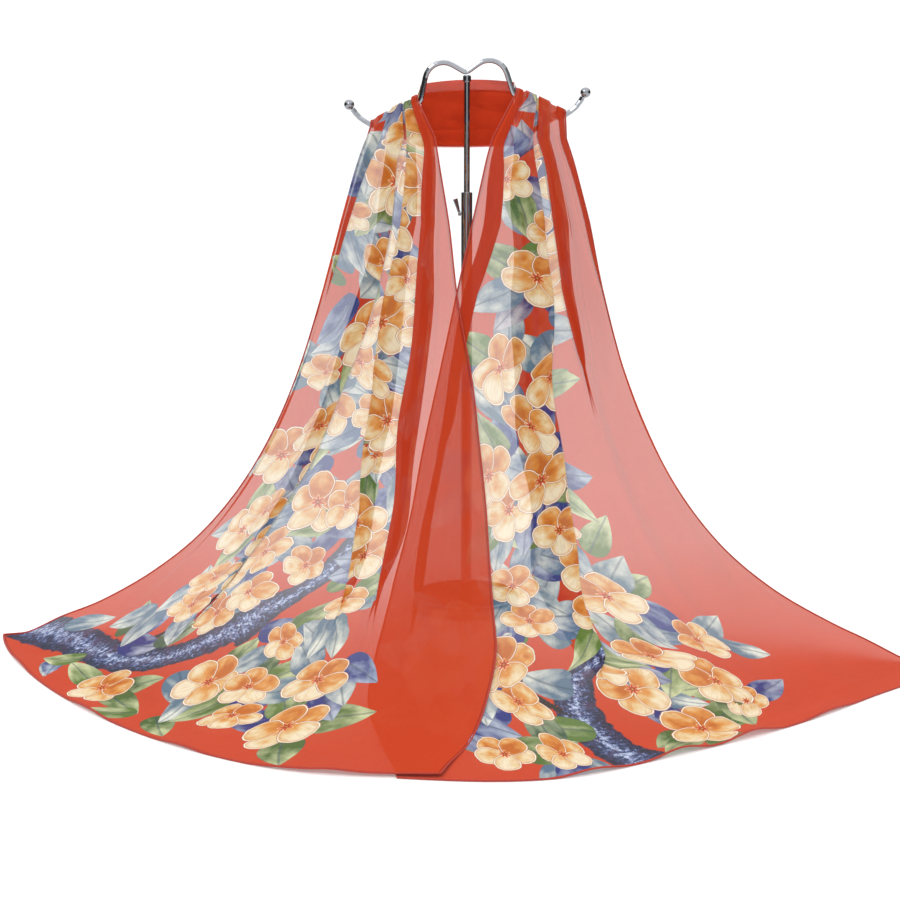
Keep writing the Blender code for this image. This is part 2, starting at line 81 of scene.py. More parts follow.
TUCKS = {
    # name, the side its top layer comes from, times it turns back, (section, from angle, to angle) rows
    "left": (
        ("outer tuck", "outer", 1, ((0, 22, 34), (2, 22, 28), (3.5, 24, 25), (12, 24, 25))),
        (
            "slanting tuck",
            "outer",
            2,
            ((0, 40, 52), (2, 47, 56), (3, 44, 55), (4, 42, 51), (5, 40, 46), (7, 40, 43), (12, 40, 41)),
        ),
        (
            "main tuck",
            "inner",
            1,
            ((0, 56, 61), (2, 60, 67), (4, 58, 67), (5, 61, 67), (6, 65, 69), (9, 68, 69), (12, 68, 69)),
        ),
        (
            "column tuck",
            "inner",
            2,
            ((0, 64, 70), (2, 70, 77), (4, 70, 77), (6, 72, 76), (9, 74, 75), (12, 74, 75)),
        ),
    ),
    "right": (
        (
            "turned edge",
            "outer",
            1,
            ((0, 19, 27), (2, 24, 29), (3, 29, 32), (4, 31, 33), (5, 31, 32), (12, 28, 29)),
        ),
        (
            "outer tuck",
            "outer",
            2,
            ((0, 36, 48), (2, 40, 51), (3, 46, 53), (4, 49, 52), (6, 50, 51), (12, 50, 51)),
        ),
        (
            "main tuck",
            "inner",
            2,
            (
                (0, 52, 64),
                (2, 54, 70),
                (3, 57, 74),
                (4, 61, 75),
                (5, 64, 76),
                (7, 68, 77),
                (9, 72, 73),
                (12, 72, 73),
            ),
        ),
        (
            "inner tuck",
            "inner",
            1,
            ((0, 68, 73), (1, 71, 78), (2, 76, 84), (3, 86, 91), (4, 92, 96), (5, 96, 99), (7, 98, 101))
            + ((9, 99, 100), (12, 94, 95)),
        ),
    ),
}
SHOULDERS = {
    # side: outer (x, z) and inner (x, z) on the arm, band end x, band bottom z, band top z
    "left": ((-0.0980, 0.5118), (-0.0508, 0.5360), -0.0475, 0.489, 0.553),
    "right": ((0.1005, 0.5218), (0.0508, 0.5440), 0.0490, 0.490, 0.555),
}
# Where the cloth turns inside a tuck, as parts of its half-width, by the times it turns back.
TUCK_TURNS = {1: (-1.0, 1.0, -1.0, 1.0), 2: (-1.0, 1.0, -0.35, 0.5, -0.9, 1.0)}
TUCK_OPENED = {1: 1.5, 2: 2.5}  # half-width in degrees of the same cloth where the tuck has opened out
TUCK_WANDER = 0.7  # degrees that a tuck's edges wander to each side
FORM_DEPTH_AT_TOP = 0.032
FORM_TOP_REACH = 0.105
FORM_END_REACH = 0.478
SELVEDGE_RISE = 0.009
SELVEDGE_RISE_ANGLE = 16.0
CROSSED_FROM = 74.0
CROSSING_LIFT = 0.0030
TUCK_SWELL = 0.0045
SHOULDER_CLEARANCE = 0.0034
CLOTH_CLEARANCE = 0.0004  # from the form to the sheet
ROWS_BEHIND_ARM, ROWS_ROUND_ARM, ROWS_UP_TO_ARM = 15, 11, 13
OPENED_TUCK = (0.0026, 2.2)  # height, and width in degrees, of the roll that an opened tuck leaves
BAND_DEPTH = 0.0105
BAND_BOW = 0.007
BAND_TOP_RISE = 0.004
BAND_GAP = 0.0003
BAND_COLUMNS = 49
BAND_THICKNESS = 0.0047  # of all its gathered passes
BAND_MESH_STEP = 0.0022
BAND_SLUMP = 0.0010  # how far the gathers sag between the shoulders
BAND_ROLL = 0.0007  # how far the gathers swell in and out

# Soft ridges and troughs that run down each half, beside its tucks.
RIDGES = {
    "left": (
        # from section, from angle, to section, to angle, width in degrees, height
        (3.0, 30, 8.5, 27, 5.0, 0.0060),
        (2.0, 36, 6.0, 34, 3.0, -0.0037),
        (5.0, 52, 10.5, 47, 4.5, 0.0075),
        (4.5, 57, 8.5, 55, 3.0, -0.0030),
        (3.0, 81, 8.5, 80, 2.6, 0.0033),
        (3.5, 87, 9.5, 85, 2.2, 0.0027),
        (7.5, 33, 11.8, 31, 3.0, 0.0045),
        (8.0, 62, 11.8, 60, 2.5, 0.0030),
        (-1.5, 18, 4.0, 19, 1.6, 0.0038),
        (-1.5, 37, 3.5, 42, 1.8, -0.0034),
        (-1.5, 54, 3.0, 58, 1.4, 0.0034),
        (0.0, 75, 5.0, 79, 1.3, 0.0030),
    ),
    "right": (
        (2.0, 33, 8.0, 37, 4.0, 0.0060),
        (3.0, 42, 8.0, 44, 3.5, -0.0045),
        (5.0, 57, 10.5, 57, 4.0, 0.0067),
        (6.0, 66, 10.0, 65, 2.6, 0.0030),
        (3.5, 81, 9.0, 83, 2.4, 0.0018),
        (8.5, 38, 11.9, 40, 3.2, 0.0060),
        (9.0, 76, 11.9, 79, 3.0, 0.0037),
        (8.8, 88, 11.9, 90, 2.6, 0.0030),
        (-1.5, 31, 4.5, 36, 1.7, 0.0043),
        (-1.5, 34, 5.0, 41, 1.5, -0.0034),
        (-1.0, 49, 3.5, 53, 1.4, 0.0034),
        (0.5, 80, 4.0, 84, 1.2, 0.0024),
    ),
}
# Where the hem stands a little clear of the table: place across the end from 0 to 1, width, height.
HEM_WAVES = {
    "left": ((0.16, 0.045, 0.0022), (0.42, 0.050, 0.0030), (0.63, 0.040, 0.0022), (0.86, 0.030, 0.0018)),
    "right": ((0.30, 0.050, 0.0030), (0.47, 0.045, 0.0062), (0.60, 0.040, 0.0058), (0.74, 0.040, 0.0042)),
}

# The neck band is the scarf's whole width gathered: each pass runs from the last height to this one.
BAND_PASSES = (0.0, 0.017, 0.002, 0.052, 0.004, 0.054, 0.001, 0.053, 0.003, 0.0635, 0.030)

# The print, in flat cloth metres: across from the outer selvedge, and up from the end hem.
BRANCHES = {
    "left": (
        # half-width at its foot and tip, and its points (across, up)
        (0.027, 0.017, ((0.000, 0.030), (0.080, 0.062), (0.165, 0.075), (0.250, 0.115), (0.305, 0.190))),
        (0.021, 0.008, ((0.285, 0.150), (0.322, 0.235), (0.330, 0.320), (0.352, 0.400))),
        (0.0038, 0.0016, ((0.345, 0.380), (0.375, 0.455), (0.355, 0.540), (0.385, 0.630), (0.370, 0.740))),
        (0.0045, 0.0018, ((0.150, 0.075), (0.190, 0.170), (0.180, 0.270), (0.215, 0.370), (0.190, 0.480))),
        (0.0030, 0.0014, ((0.210, 0.350), (0.165, 0.430), (0.120, 0.520), (0.125, 0.640))),
        (0.0030, 0.0014, ((0.330, 0.300), (0.400, 0.365), (0.425, 0.460), (0.415, 0.560))),
    ),
    "right": (
        (0.026, 0.0163, ((0.395, -0.010), (0.405, 0.060), (0.385, 0.120), (0.360, 0.165))),
        (0.0070, 0.0035, ((0.365, 0.155), (0.335, 0.225), (0.345, 0.300), (0.375, 0.370))),
        (0.0036, 0.0016, ((0.372, 0.360), (0.350, 0.450), (0.395, 0.545), (0.375, 0.650), (0.400, 0.750))),
        (0.0042, 0.0018, ((0.375, 0.140), (0.300, 0.135), (0.250, 0.095))),
        (0.0034, 0.0015, ((0.345, 0.245), (0.270, 0.300), (0.245, 0.390), (0.200, 0.470))),
        (0.0040, 0.0018, ((0.410, 0.080), (0.455, 0.140), (0.470, 0.230), (0.450, 0.330))),
    ),
}
# Where blossoms lie: (up, from across, to across), read between the rows.
BLOSSOM_ZONE = {
    "left": (
        (0.050, 0.03, 0.44), (0.13, 0.12, 0.45), (0.24, 0.10, 0.46), (0.40, 0.05, 0.47), (0.80, 0.06, 0.50)
    ),
    "right": (
        (0.045, 0.24, 0.55), (0.13, 0.20, 0.54), (0.24, 0.19, 0.51), (0.40, 0.17, 0.50), (0.80, 0.13, 0.50)
    ),
}
BLOSSOM_ROW = 0.050
BLOSSOM_STEP = 0.063
BLOSSOM_WANDER = 0.014
BLOSSOM_RADIUS = (0.027, 0.038)
UNOPENED_SHARE = 0.14  # of the blossoms, which show as leaves alone
LEAVES_EACH = 4
LEAF_LENGTH = (0.024, 0.033)
LEAF_BREADTH = (0.014, 0.019)
FLOOR_REACH = 4.0
THICK_BRANCH = 0.010  # a branch over this half-width keeps blossoms and leaves off it
SLOT_COUNT = {"petal": 3, "leaf": 3, "heart": 1}
NOWHERE = (3.0, 9.0, 0.0)  # a place that every motif leaves bare
COLOUR_LIMITS = {"subtype": "COLOR", "min": 0, "max": 1}


def linear(hex_colour):
    """An sRGB hex colour as linear light."""
    parts = [int(hex_colour[start : start + 2], 16) / 255 for start in (0, 2, 4)]
    return tuple(part / 12.92 if part <= 0.04045 else ((part + 0.055) / 1.055) ** 2.4 for part in parts)


class ScarfSizes(PropertyGroup):
    """Sizes of the cloth that a user would change."""

    cloth_width: FloatProperty(
        name="Cloth width", description="Cut width across a half", default=0.60, unit="LENGTH"
    )
    half_length: FloatProperty(
        name="Half length", description="Cut length of a half, neck band to hem", default=0.775, unit="LENGTH"
    )
    mesh_step: FloatProperty(
        name="Mesh step", description="Spacing of the cloth's points", default=0.003, unit="LENGTH"
    )
    layer_step: FloatProperty(
        name="Layer step", description="Distance between the layers of a tuck", default=0.0006, unit="LENGTH"
    )
    hem_radius: FloatProperty(
        name="Hem radius", description="Half the rolled hem's thickness", default=0.0008, unit="LENGTH"
    )
    thread_step: FloatProperty(
        name="Thread step", description="Spacing of the drawn weave's threads", default=0.0011, unit="LENGTH"
    )
    print_seed: IntProperty(name="Print seed", description="Seed of the print's layout", default=11, min=0)


class ScarfColours(PropertyGroup):
    """Main colours of the cloth and the stand."""

    cloth: FloatVectorProperty(
        name="Cloth", description="Ground of the chiffon", default=linear("c83e18"), **COLOUR_LIMITS
    )
    # Painted shade: the darker ground where a tuck's layers are stacked.
    stacked_shade: FloatVectorProperty(
        name="Deep", description="Ground where the layers are stacked", default=linear(
            "bd3212"
        ), **COLOUR_LIMITS
    )
    hem: FloatVectorProperty(
        name="Hem", description="Rolled hem and selvedge", default=linear("9c2416"), **COLOUR_LIMITS
    )
    chrome: FloatVectorProperty(
        name="Chrome", description="Chrome plate of the stand", default=linear("a9acb1"), **COLOUR_LIMITS
    )


# The form


def smooth_rows(rows, at):
    """The table's columns at fractional rows, on smooth curves through the rows."""
    rows = np.asarray(rows, float)
    at = np.asarray(at, float)
    index = np.clip(at.astype(int), 0, len(rows) - 2)
    part = (at - index)[..., None]
    p, q, r, s = (rows[np.clip(index + step, 0, len(rows) - 1)] for step in (-1, 0, 1, 2))
    slope_in = np.where(q == r, 0.0, (r - p) / 2)
    slope_out = np.where(q == r, 0.0, (s - q) / 2)
    curve = 3 * (r - q) - 2 * slope_in - slope_out
    return q + part * slope_in + part**2 * curve + part**3 * (2 * (q - r) + slope_in + slope_out)


def smooth_step(value, low, high):
    """0 below the low value and 1 above the high one, with a soft start and end between them."""
    part = np.clip((value - low) / (high - low), 0.0, 1.0)
    return part * part * (3 - 2 * part)


def edge_angles(side, at):
    """The angles of a half's outer selvedge and inner edge at these sections."""
    values = smooth_rows(SECTIONS, at)
    first = 2 if side == "left" else 4
    return values[..., first], values[..., first + 1]


def tuck_edges(rows, at):
    """The angles where a tuck starts and ends at these sections."""
    sections, starts, ends = np.array(rows, float).T
    return np.interp(at, sections, starts), np.interp(at, sections, ends)


def tuck_fold(start, end):
    """How far a tuck is folded: 1 where it is full, 0 where it has opened out."""
    return smooth_step(end - start, 1.0, 4.0)


def on_form(side, at, angle):
    """Points of the form at these sections and angles."""
    values = smooth_rows(SECTIONS, at)
    reach, height = values[..., 0], values[..., 1]
    outer, inner = edge_angles(side, at)
    part = np.clip((angle - outer) / (inner - outer), 0.0, 1.0)
    end_reach = smooth_rows(END_REACH[side], part * (len(END_REACH[side]) - 1))[..., 0]
    reach = reach * (1 + (end_reach / SECTIONS[-1][0] - 1) * smooth_step(at, 8.0, 12.0))
    depth = FORM_END_REACH - (FORM_END_REACH - reach) * (FORM_END_REACH - FORM_DEPTH_AT_TOP) / (
        FORM_END_REACH - FORM_TOP_REACH
    )
    rise = SELVEDGE_RISE * smooth_step(at, 6.0, 9.5) * (1 - smooth_step(at, 9.5, 11.5))
    height = height + rise * (1 - smooth_step(angle, outer, outer + SELVEDGE_RISE_ANGLE))
    turn = np.radians(angle)
    return np.stack(
        (MIRROR[side] * reach * np.cos(turn), -depth * np.sin(turn), np.maximum(height, 0.0)), -1
    )


def form_normal(side, at, angle):
    """The direction out of the form, straight up where it lies on the table."""
    step = 0.02
    low, high = np.maximum(at - step, 0.0), np.minimum(at + step, len(SECTIONS) - 1)
    along = on_form(side, high, angle) - on_form(side, low, angle)
    across = on_form(side, at, angle + 1) - on_form(side, at, angle - 1)
    normal = np.cross(along, across) * MIRROR[side]
    normal /= np.linalg.norm(normal, axis=-1, keepdims=True)
    return np.where(normal[..., 2:] < 0, -normal, normal)


def swell(side, at, angle):
    """The soft roll of the cloth over its tucks, none on the table or where the halves cross."""
    off_table = 1 - smooth_step(at, 5.0, 9.0)
    off_shoulder = 0.3 + 0.7 * smooth_step(at, 0.0, 2.0)
    uncrossed = 1 - smooth_step(angle, CROSSED_FROM - 12, CROSSED_FROM)
    total = 0.0
    for _, _, _, rows in TUCKS[side]:
        start, end = tuck_edges(rows, at)
        middle, half = (start + end) / 2, (end - start) / 2 + 3
        total = total + np.exp(-(((angle - middle) / half) ** 2))
    return TUCK_SWELL * total * off_table * off_shoulder * uncrossed


def crossing_lift(side, angle):
    """The left half's lift over the right half."""
    lift = CROSSING_LIFT if side == "left" else 0.0
    return lift * smooth_step(angle, CROSSED_FROM - 8, CROSSED_FROM)


def ridges(side, at, angle):
    """Height of the soft ridges and troughs, and of the runs that the tucks open out into."""
    total = np.zeros(np.broadcast(at, angle).shape)
    for from_at, from_angle, to_at, to_angle, width, height in RIDGES[side]:
        middle = from_angle + (to_angle - from_angle) * np.clip((at - from_at) / (to_at - from_at), 0, 1)
        fade = smooth_step(at, from_at, from_at + 1.2) * (1 - smooth_step(at, to_at - 1.2, to_at))
        total += height * fade * np.exp(-(((angle - middle) / width) ** 2))
    for _, _, _, rows in TUCKS[side]:
        start, end = tuck_edges(rows, at)
        run = (1 - tuck_fold(start, end)) * smooth_step(at, 3.0, 5.0) * (1 - smooth_step(at, 8.5, 11.8))
        height, width = OPENED_TUCK
        total += height * run * np.exp(-(((angle - (start + end) / 2) / width) ** 2))
    return total


# The sheet of one half


def stretches(side, at, layer_step):
    """The stretches across each row: plain cloth between tucks, and each layer of a tuck.

    Each is its two end angles, the heights at its ends and along it, its fold, and whether it turns back.
    """
    outer, inner = edge_angles(side, at)
    none = 0 * at
    found, edge, edge_height = [], outer, none
    for number, (_, top_from, returns, rows) in enumerate(TUCKS[side]):
        start, end = tuck_edges(rows, at)
        fold = tuck_fold(start, end)
        middle = (start + end) / 2 + TUCK_WANDER * np.sin(at * 2.3 + 2.1 * number) * fold
        half = (end - start) / 2 * (1 + 0.08 * np.sin(at * 3.7 + number))
        turns = np.array(TUCK_TURNS[returns])
        opened = np.linspace(-1, 1, len(turns)) * TUCK_OPENED[returns]
        angles = [middle + half * turn * fold + wide * (1 - fold) for turn, wide in zip(turns, opened)]
        levels = np.arange(len(turns) - 1)[:: -1 if top_from == "outer" else 1]
        ends = np.concatenate((levels[:1], (levels[1:] + levels[:-1]) / 2, levels[-1:]))
        heights = [level * layer_step * fold for level in ends]
        found.append((edge, angles[0], edge_height, heights[0], none, none, none, True))
        for index, level in enumerate(levels):
            turned = fold if index % 2 else none
            high = level * layer_step * fold
            span = (*angles[index : index + 2], *heights[index : index + 2])
            found.append((*span, high, fold, turned, False))
        edge, edge_height = angles[-1], heights[-1]
    found.append((edge, inner, edge_height, none, none, none, none, True))
    return found


def cloth_columns(side, at, sizes):
    """Angle, layer height, stacking and flat place across of every column, in each row."""
    ramp = 3.0
    angles, levels, stacks, turns = [], [], [], []
    for start, end, low, high, height, fold, turned, is_plain in stretches(side, at, sizes.layer_step):
        chord = np.linalg.norm(on_form(side, at, end) - on_form(side, at, start), axis=-1).max()
        count = max(4, math.ceil(chord * 1.06 / sizes.mesh_step))
        fractions = np.arange(count + 1) / count
        if not is_plain:
            fractions = (1 - np.cos(math.pi * fractions)) / 2
        angle = start[:, None] + (end - start)[:, None] * fractions
        if is_plain:
            level = low[:, None] * (1 - smooth_step(angle - start[:, None], 0, ramp))
            level = level + high[:, None] * (1 - smooth_step(end[:, None] - angle, 0, ramp))
        else:
            level = np.repeat(height[:, None], count + 1, axis=1)
            level[:, 0], level[:, -1] = low, high
        first = 1 if angles else 0
        angles.append(angle[:, first:])
        levels.append(level[:, first:])
        stacks.append(np.repeat(fold[:, None], count + 1, axis=1)[:, first:])
        turns.append(np.repeat(turned[:, None], count, axis=1))
    angle, level, stack, turned = (
        np.concatenate(values, axis=1) for values in (angles, levels, stacks, turns)
    )
    # The hidden returns of the tucks take up the cloth that the section has no room for, less and less
    # towards the spread, where the whole width widens a little instead.
    most = 14.0
    pieces = np.linalg.norm(np.diff(on_form(side, at[:, None], angle), axis=1), axis=-1)
    spare = (sizes.cloth_width - pieces.sum(axis=1)) * (1 - smooth_step(at, 3.5, 8.5))
    taken = np.clip(spare / np.maximum((pieces * turned).sum(axis=1), 1e-6), 0.0, most)
    across = np.cumsum(pieces * (1 + taken[:, None] * turned), axis=1)
    across = np.concatenate((np.zeros((len(at), 1)), across), axis=1)
    across *= sizes.cloth_width / across[:, -1:]
    return angle, level, stack, across


def even_sections(step):
    """Sections at even steps down the cloth, from the top of the fall to the end hem."""
    fine = np.linspace(0, len(SECTIONS) - 1, 2400)
    down = on_form("left", fine, 50.0 + 0 * fine)
    walked = np.concatenate(([0.0], np.cumsum(np.linalg.norm(np.diff(down, axis=0), axis=1))))
    count = round(walked[-1] / step)
    wanted = np.linspace(0, walked[-1], count + 1)
    return np.interp(wanted, walked, fine), walked[-1] - wanted


def half_grid(side, sizes):
    """Points of one half, rows from the neck band to the end, and their flat places and stacking."""
    at, up = even_sections(sizes.mesh_step)
    angle, level, stack, across = cloth_columns(side, at, sizes)
    rows = at[:, None]
    clear = CLOTH_CLEARANCE
    out = form_normal(side, rows, angle)
    lift = swell(side, rows, angle) + crossing_lift(side, angle)
    base = on_form(side, rows, angle) + out * lift[..., None]
    outer, inner = edge_angles(side, at)
    part = (angle - outer[:, None]) / (inner - outer)[:, None]
    waves = ridges(side, rows, angle)
    for place, width, height in HEM_WAVES[side]:
        waves = waves + height * smooth_step(rows, 10.8, 12.0) * np.exp(-(((part - place) / width) ** 2))
    fall = base + out * (clear + level + waves)[..., None]
    fall[..., 2] = np.maximum(fall[..., 2], clear + level)

    # Over the arm: up the front, round the wire, and down behind it to the neck band.
    outer_arm, inner_arm, band_x, band_bottom, band_top = SHOULDERS[side]
    part, level, top_out, start = part[0], level[0], out[0], base[0]
    arm = np.stack(
        (
            outer_arm[0] + (inner_arm[0] - outer_arm[0]) * part,
            0 * part,
            outer_arm[1] + (inner_arm[1] - outer_arm[1]) * part,
        ),
        -1,
    )
    band = np.stack(
        (band_x + 0 * part, BAND_DEPTH + 0 * part, band_bottom + (band_top - band_bottom) * part), -1
    )
    front = arm + np.array((0.0, -SHOULDER_CLEARANCE, 0.0))
    behind = arm + np.array((0.0, SHOULDER_CLEARANCE, 0.0))
    raised = (clear + level)[:, None]
    shoulder = []
    for drop in np.linspace(1.0, 0.0, ROWS_BEHIND_ARM)[:-1]:
        shoulder.append(
            behind + (band - behind) * drop + np.array((0.0, 1.0, 0.0)) * raised * (1 - 0.5 * drop)
        )
    for turn in np.linspace(math.pi, 0.0, ROWS_ROUND_ARM):
        round_wire = np.array((0.0, -math.cos(turn), math.sin(turn)))
        shoulder.append(arm + round_wire * (SHOULDER_CLEARANCE + raised))
    for rise in np.linspace(1.0, 0.0, ROWS_UP_TO_ARM)[1:-1]:
        belly = (start[:, 1] - front[:, 1]) * rise * (1 - rise) * 0.6
        point = start + (front - start) * rise
        point[:, 1] += belly
        facing = top_out * (1 - rise) + np.array((0.0, -1.0, 0.0)) * rise
        facing /= np.linalg.norm(facing, axis=-1, keepdims=True)
        shoulder.append(point + facing * (raised + waves[0][:, None] * (1 - rise)))
    shoulder = np.array(shoulder)
    grid = np.concatenate((shoulder, fall))
    walked = np.linalg.norm(np.diff(grid[: len(shoulder) + 1], axis=0), axis=-1).mean(axis=1)
    up = np.concatenate((up[0] + np.cumsum(walked[::-1])[::-1], up))
    stack = np.concatenate((np.repeat(stack[:1], len(shoulder), axis=0), stack))
    across = np.concatenate((np.repeat(across[:1], len(shoulder), axis=0), across))
    flat = np.stack((across, np.repeat(up[:, None], across.shape[1], axis=1), stack), -1)
    return grid, flat


def sheet_mesh(name, grid):
    """An open sheet of quads, and the grid index of each face's four corners."""
    height, width = grid.shape[:2]
    numbers = np.arange(height * width).reshape(height, width)
    corners = np.stack(
        (numbers[:-1, :-1], numbers[1:, :-1], numbers[1:, 1:], numbers[:-1, 1:]), -1
    ).reshape(-1, 4)
    mesh = bpy.data.meshes.new(name)
    mesh.from_pydata(grid.reshape(-1, 3).tolist(), [], corners.tolist())
    mesh.shade_smooth()
    mesh.set_sharp_from_angle(angle=math.radians(75))
    return mesh, corners


def write_corners(mesh, name, values):
    """Writes a vector attribute, one value for each corner of each face."""
    layer = mesh.attributes.new(name, "FLOAT_VECTOR", "CORNER")
    layer.data.foreach_set("vector", np.ascontiguousarray(values, np.float32).ravel())


def link_piece(name, data, material, body="stand"):
    """Puts a piece with its material into the scene, where it rides on its body."""
    piece = bpy.data.objects.new(name, data)
    bpy.context.scene.collection.objects.link(piece)
    data.materials.append(material)
    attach(piece, body)
    return piece


# The print


def print_motifs(side, seed):
    """Petals, hearts and leaves of one half, lowest first: kind, middle, inverse matrix and tone."""
    rng = np.random.default_rng(seed + SIDES.index(side))
    ups, froms, tos = np.array(BLOSSOM_ZONE[side]).T
    motifs = {"petal": [], "leaf": [], "heart": []}

    def place(kind, middle, axes, tone):
        motifs[kind].append((np.array(middle), np.linalg.inv(np.array(axes).T), tone))

    up, row = ups[0], 0
    while up < ups[-1]:
        start, end = np.interp(up, ups, froms), np.interp(up, ups, tos)
        across = start + (0.5 * BLOSSOM_STEP if row % 2 else 0.0)
        while across < end:
            middle = np.array((across, up)) + rng.uniform(-BLOSSOM_WANDER, BLOSSOM_WANDER, 2)
            radius = rng.uniform(*BLOSSOM_RADIUS)
            turn = rng.uniform(0, 2 * math.pi)
            tilt, squash = rng.uniform(0, math.pi), rng.uniform(0.62, 1.0)
            is_open = rng.uniform() > UNOPENED_SHARE and trunk_distance(side, middle) > 0.3 * radius
            leaning = np.array((math.cos(tilt), math.sin(tilt)))
            squeeze = np.eye(2) - (1 - squash) * np.outer(leaning, leaning)
            for _ in range(LEAVES_EACH if is_open else LEAVES_EACH - 1):
                heading = rng.uniform(0, 2 * math.pi)
                out = np.array((math.cos(heading), math.sin(heading)))
                length, breadth = rng.uniform(*LEAF_LENGTH), rng.uniform(*LEAF_BREADTH)
                tone = leaf_tone(side, up, rng)
                leaf_middle = middle + out * (radius * 0.65 + length * 0.75)
                if trunk_distance(side, leaf_middle) > 0.0:
                    place("leaf", leaf_middle, (out * length, np.array((-out[1], out[0])) * breadth), tone)
            if is_open:
                order = rng.permutation(5)
                for petal in order:
                    heading = turn + petal * 2 * math.pi / 5 + rng.uniform(-0.10, 0.10)
                    out = np.array((math.cos(heading), math.sin(heading)))
                    length, breadth = radius * rng.uniform(0.47, 0.53), radius * rng.uniform(0.42, 0.48)
                    tone = 0.42 + 0.30 * math.sin(heading) + rng.uniform(-0.16, 0.16)
                    axes = (squeeze @ out * length, squeeze @ np.array((-out[1], out[0])) * breadth)
                    place("petal", middle + squeeze @ out * radius * 0.52, axes, tone)
                axes = (squeeze @ np.array((radius * 0.27, 0.0)), squeeze @ np.array((0.0, radius * 0.27)))
                place("heart", middle, axes, rng.uniform())
            across += BLOSSOM_STEP * rng.uniform(0.9, 1.15)
        up += BLOSSOM_ROW * rng.uniform(0.92, 1.08)
        row += 1
    return motifs


def trunk_distance(side, middle):
    """How far a place on the flat cloth is from the edge of the nearest thick branch."""
    nearest = math.inf
    for foot, tip, points in BRANCHES[side]:
        if foot > THICK_BRANCH:
            line = smooth_rows(points, np.linspace(0, len(points) - 1, 8 * len(points)))
            half = np.linspace(foot, tip, len(line))
            nearest = min(nearest, (np.linalg.norm(line - middle, axis=1) - half).min())
    return nearest


def leaf_tone(side, up, rng):
    """Place on the leaf colours: low for grey-blue, middle for green, high for deep blue and purple."""
    if up > 0.52 and side == "right":
        return rng.choice((0.12, 0.40, 0.74, 0.92)) + rng.uniform(-0.05, 0.05)
    if up < 0.13:
        return rng.choice((0.40, 0.48, 0.74, 0.20)) + rng.uniform(-0.05, 0.05)
    return rng.choice((0.10, 0.16, 0.22, 0.40, 0.72)) + rng.uniform(-0.05, 0.05)


def motif_share(kind, local):
    """Where each place lies against its outline: 1 on it, less inside. The materials draw the same."""
    along, across = local[..., 0], local[..., 1]
    if kind == "leaf":
        half = 0.92 * np.sqrt(np.maximum(1 + along, 0)) * (1 - along)
        return np.maximum(np.abs(across) / np.maximum(half, 0.12), np.abs(along))
    return np.hypot(along, across / (1 + 0.20 * np.clip(along, -1.5, 1.5)))


def stack_motifs(kind, motifs, flat, slots):
    """For each face, its corners' places in the topmost motifs that reach it, one array for each slot."""
    chosen = np.full((slots, len(flat)), -1)
    for number, (middle, inverse, _) in enumerate(motifs):
        local = (flat - middle) @ inverse.T
        near = np.flatnonzero((np.abs(local).max(axis=2) < 1.35).any(axis=1))
        near = near[motif_share(kind, local[near]).min(axis=1) < 1.13]
        chosen[1:, near] = chosen[:-1, near]
        chosen[0, near] = number
    middles = np.array([motif[0] for motif in motifs])
    inverses = np.array([motif[1] for motif in motifs])
    tones = np.array([motif[2] for motif in motifs])
    found = []
    for slot in range(slots):
        index = chosen[slot]
        local = np.einsum("fij,fcj->fci", inverses[index], flat - middles[index][:, None])
        values = np.concatenate((local, np.repeat(tones[index][:, None, None], 4, axis=1)), axis=2)
        values[index < 0] = NOWHERE
        found.append(values)
    return found


def branch_places(branches, flat):
    """Each face's corners on its nearest branch: across in half-widths, along, and thickness."""
    middles = flat.mean(axis=1)
    nearest = np.full(len(flat), np.inf)
    places = np.tile(np.array(NOWHERE), (len(flat), 4, 1))
    for foot, tip, points in branches:
        rows = np.linspace(0, len(points) - 1, 12 * len(points))
        line = smooth_rows(points, rows)
        along = np.concatenate(([0.0], np.cumsum(np.linalg.norm(np.diff(line, axis=0), axis=1))))
        half = foot + (tip - foot) * along / along[-1]
        tangent = np.gradient(line, axis=0)
        tangent /= np.linalg.norm(tangent, axis=1, keepdims=True)
        gaps = np.linalg.norm(middles[:, None] - line[None], axis=2)
        index = gaps.argmin(axis=1)
        ratio = gaps[np.arange(len(flat)), index] / half[index]
        offset = flat - line[index][:, None]
        run = np.einsum("fcj,fj->fc", offset, tangent[index])
        across = offset[..., 0] * tangent[index][:, None, 1] - offset[..., 1] * tangent[index][:, None, 0]
        values = np.stack(
            (
                across / half[index][:, None],
                run + along[index][:, None],
                np.repeat(half[index][:, None], 4, axis=1),
            ), -1
        )
        beyond = np.abs(run).min(axis=1) > 0.006
        better = (ratio < nearest) & ~beyond
        places[better] = values[better]
        nearest[better] = ratio[better]
    return places


def write_print(mesh, corners, flat, side, seed):
    """Writes the cloth's flat places and the print's local places on the corners of the sheet."""
    spots = flat.reshape(-1, 3)[corners]
    write_corners(mesh, "cloth", spots)
    plane = spots[..., :2]
    motifs = print_motifs(side, seed)
    for kind, slots in SLOT_COUNT.items():
        for slot, values in enumerate(stack_motifs(kind, motifs[kind], plane, slots)):
            write_corners(mesh, f"{kind}_{slot}", values)
    write_corners(mesh, "branch", branch_places(BRANCHES[side], plane))


# Materials


def add_node(tree, kind, inputs=None, **settings):
    """Adds a node with its settings; an input is a value, or the socket that it is linked to."""
    node = tree.nodes.new(kind)
    for name, value in settings.items():
        setattr(node, name, value)
    for name, value in (inputs or {}).items():
        if isinstance(value, bpy.types.NodeSocket):
            tree.links.new(value, node.inputs[name])
        else:
            node.inputs[name].default_value = value
    return node


def calculate(tree, operation, *values):
    """The result of a calculation with values or sockets."""
    return add_node(tree, "ShaderNodeMath", dict(enumerate(values)), operation=operation).outputs[0]


def scale_vector(tree, vector, scale):
    """A vector with each axis scaled by its own factor."""
    return add_node(tree, "ShaderNodeVectorMath", {0: vector, 1: scale}, operation="MULTIPLY").outputs[0]


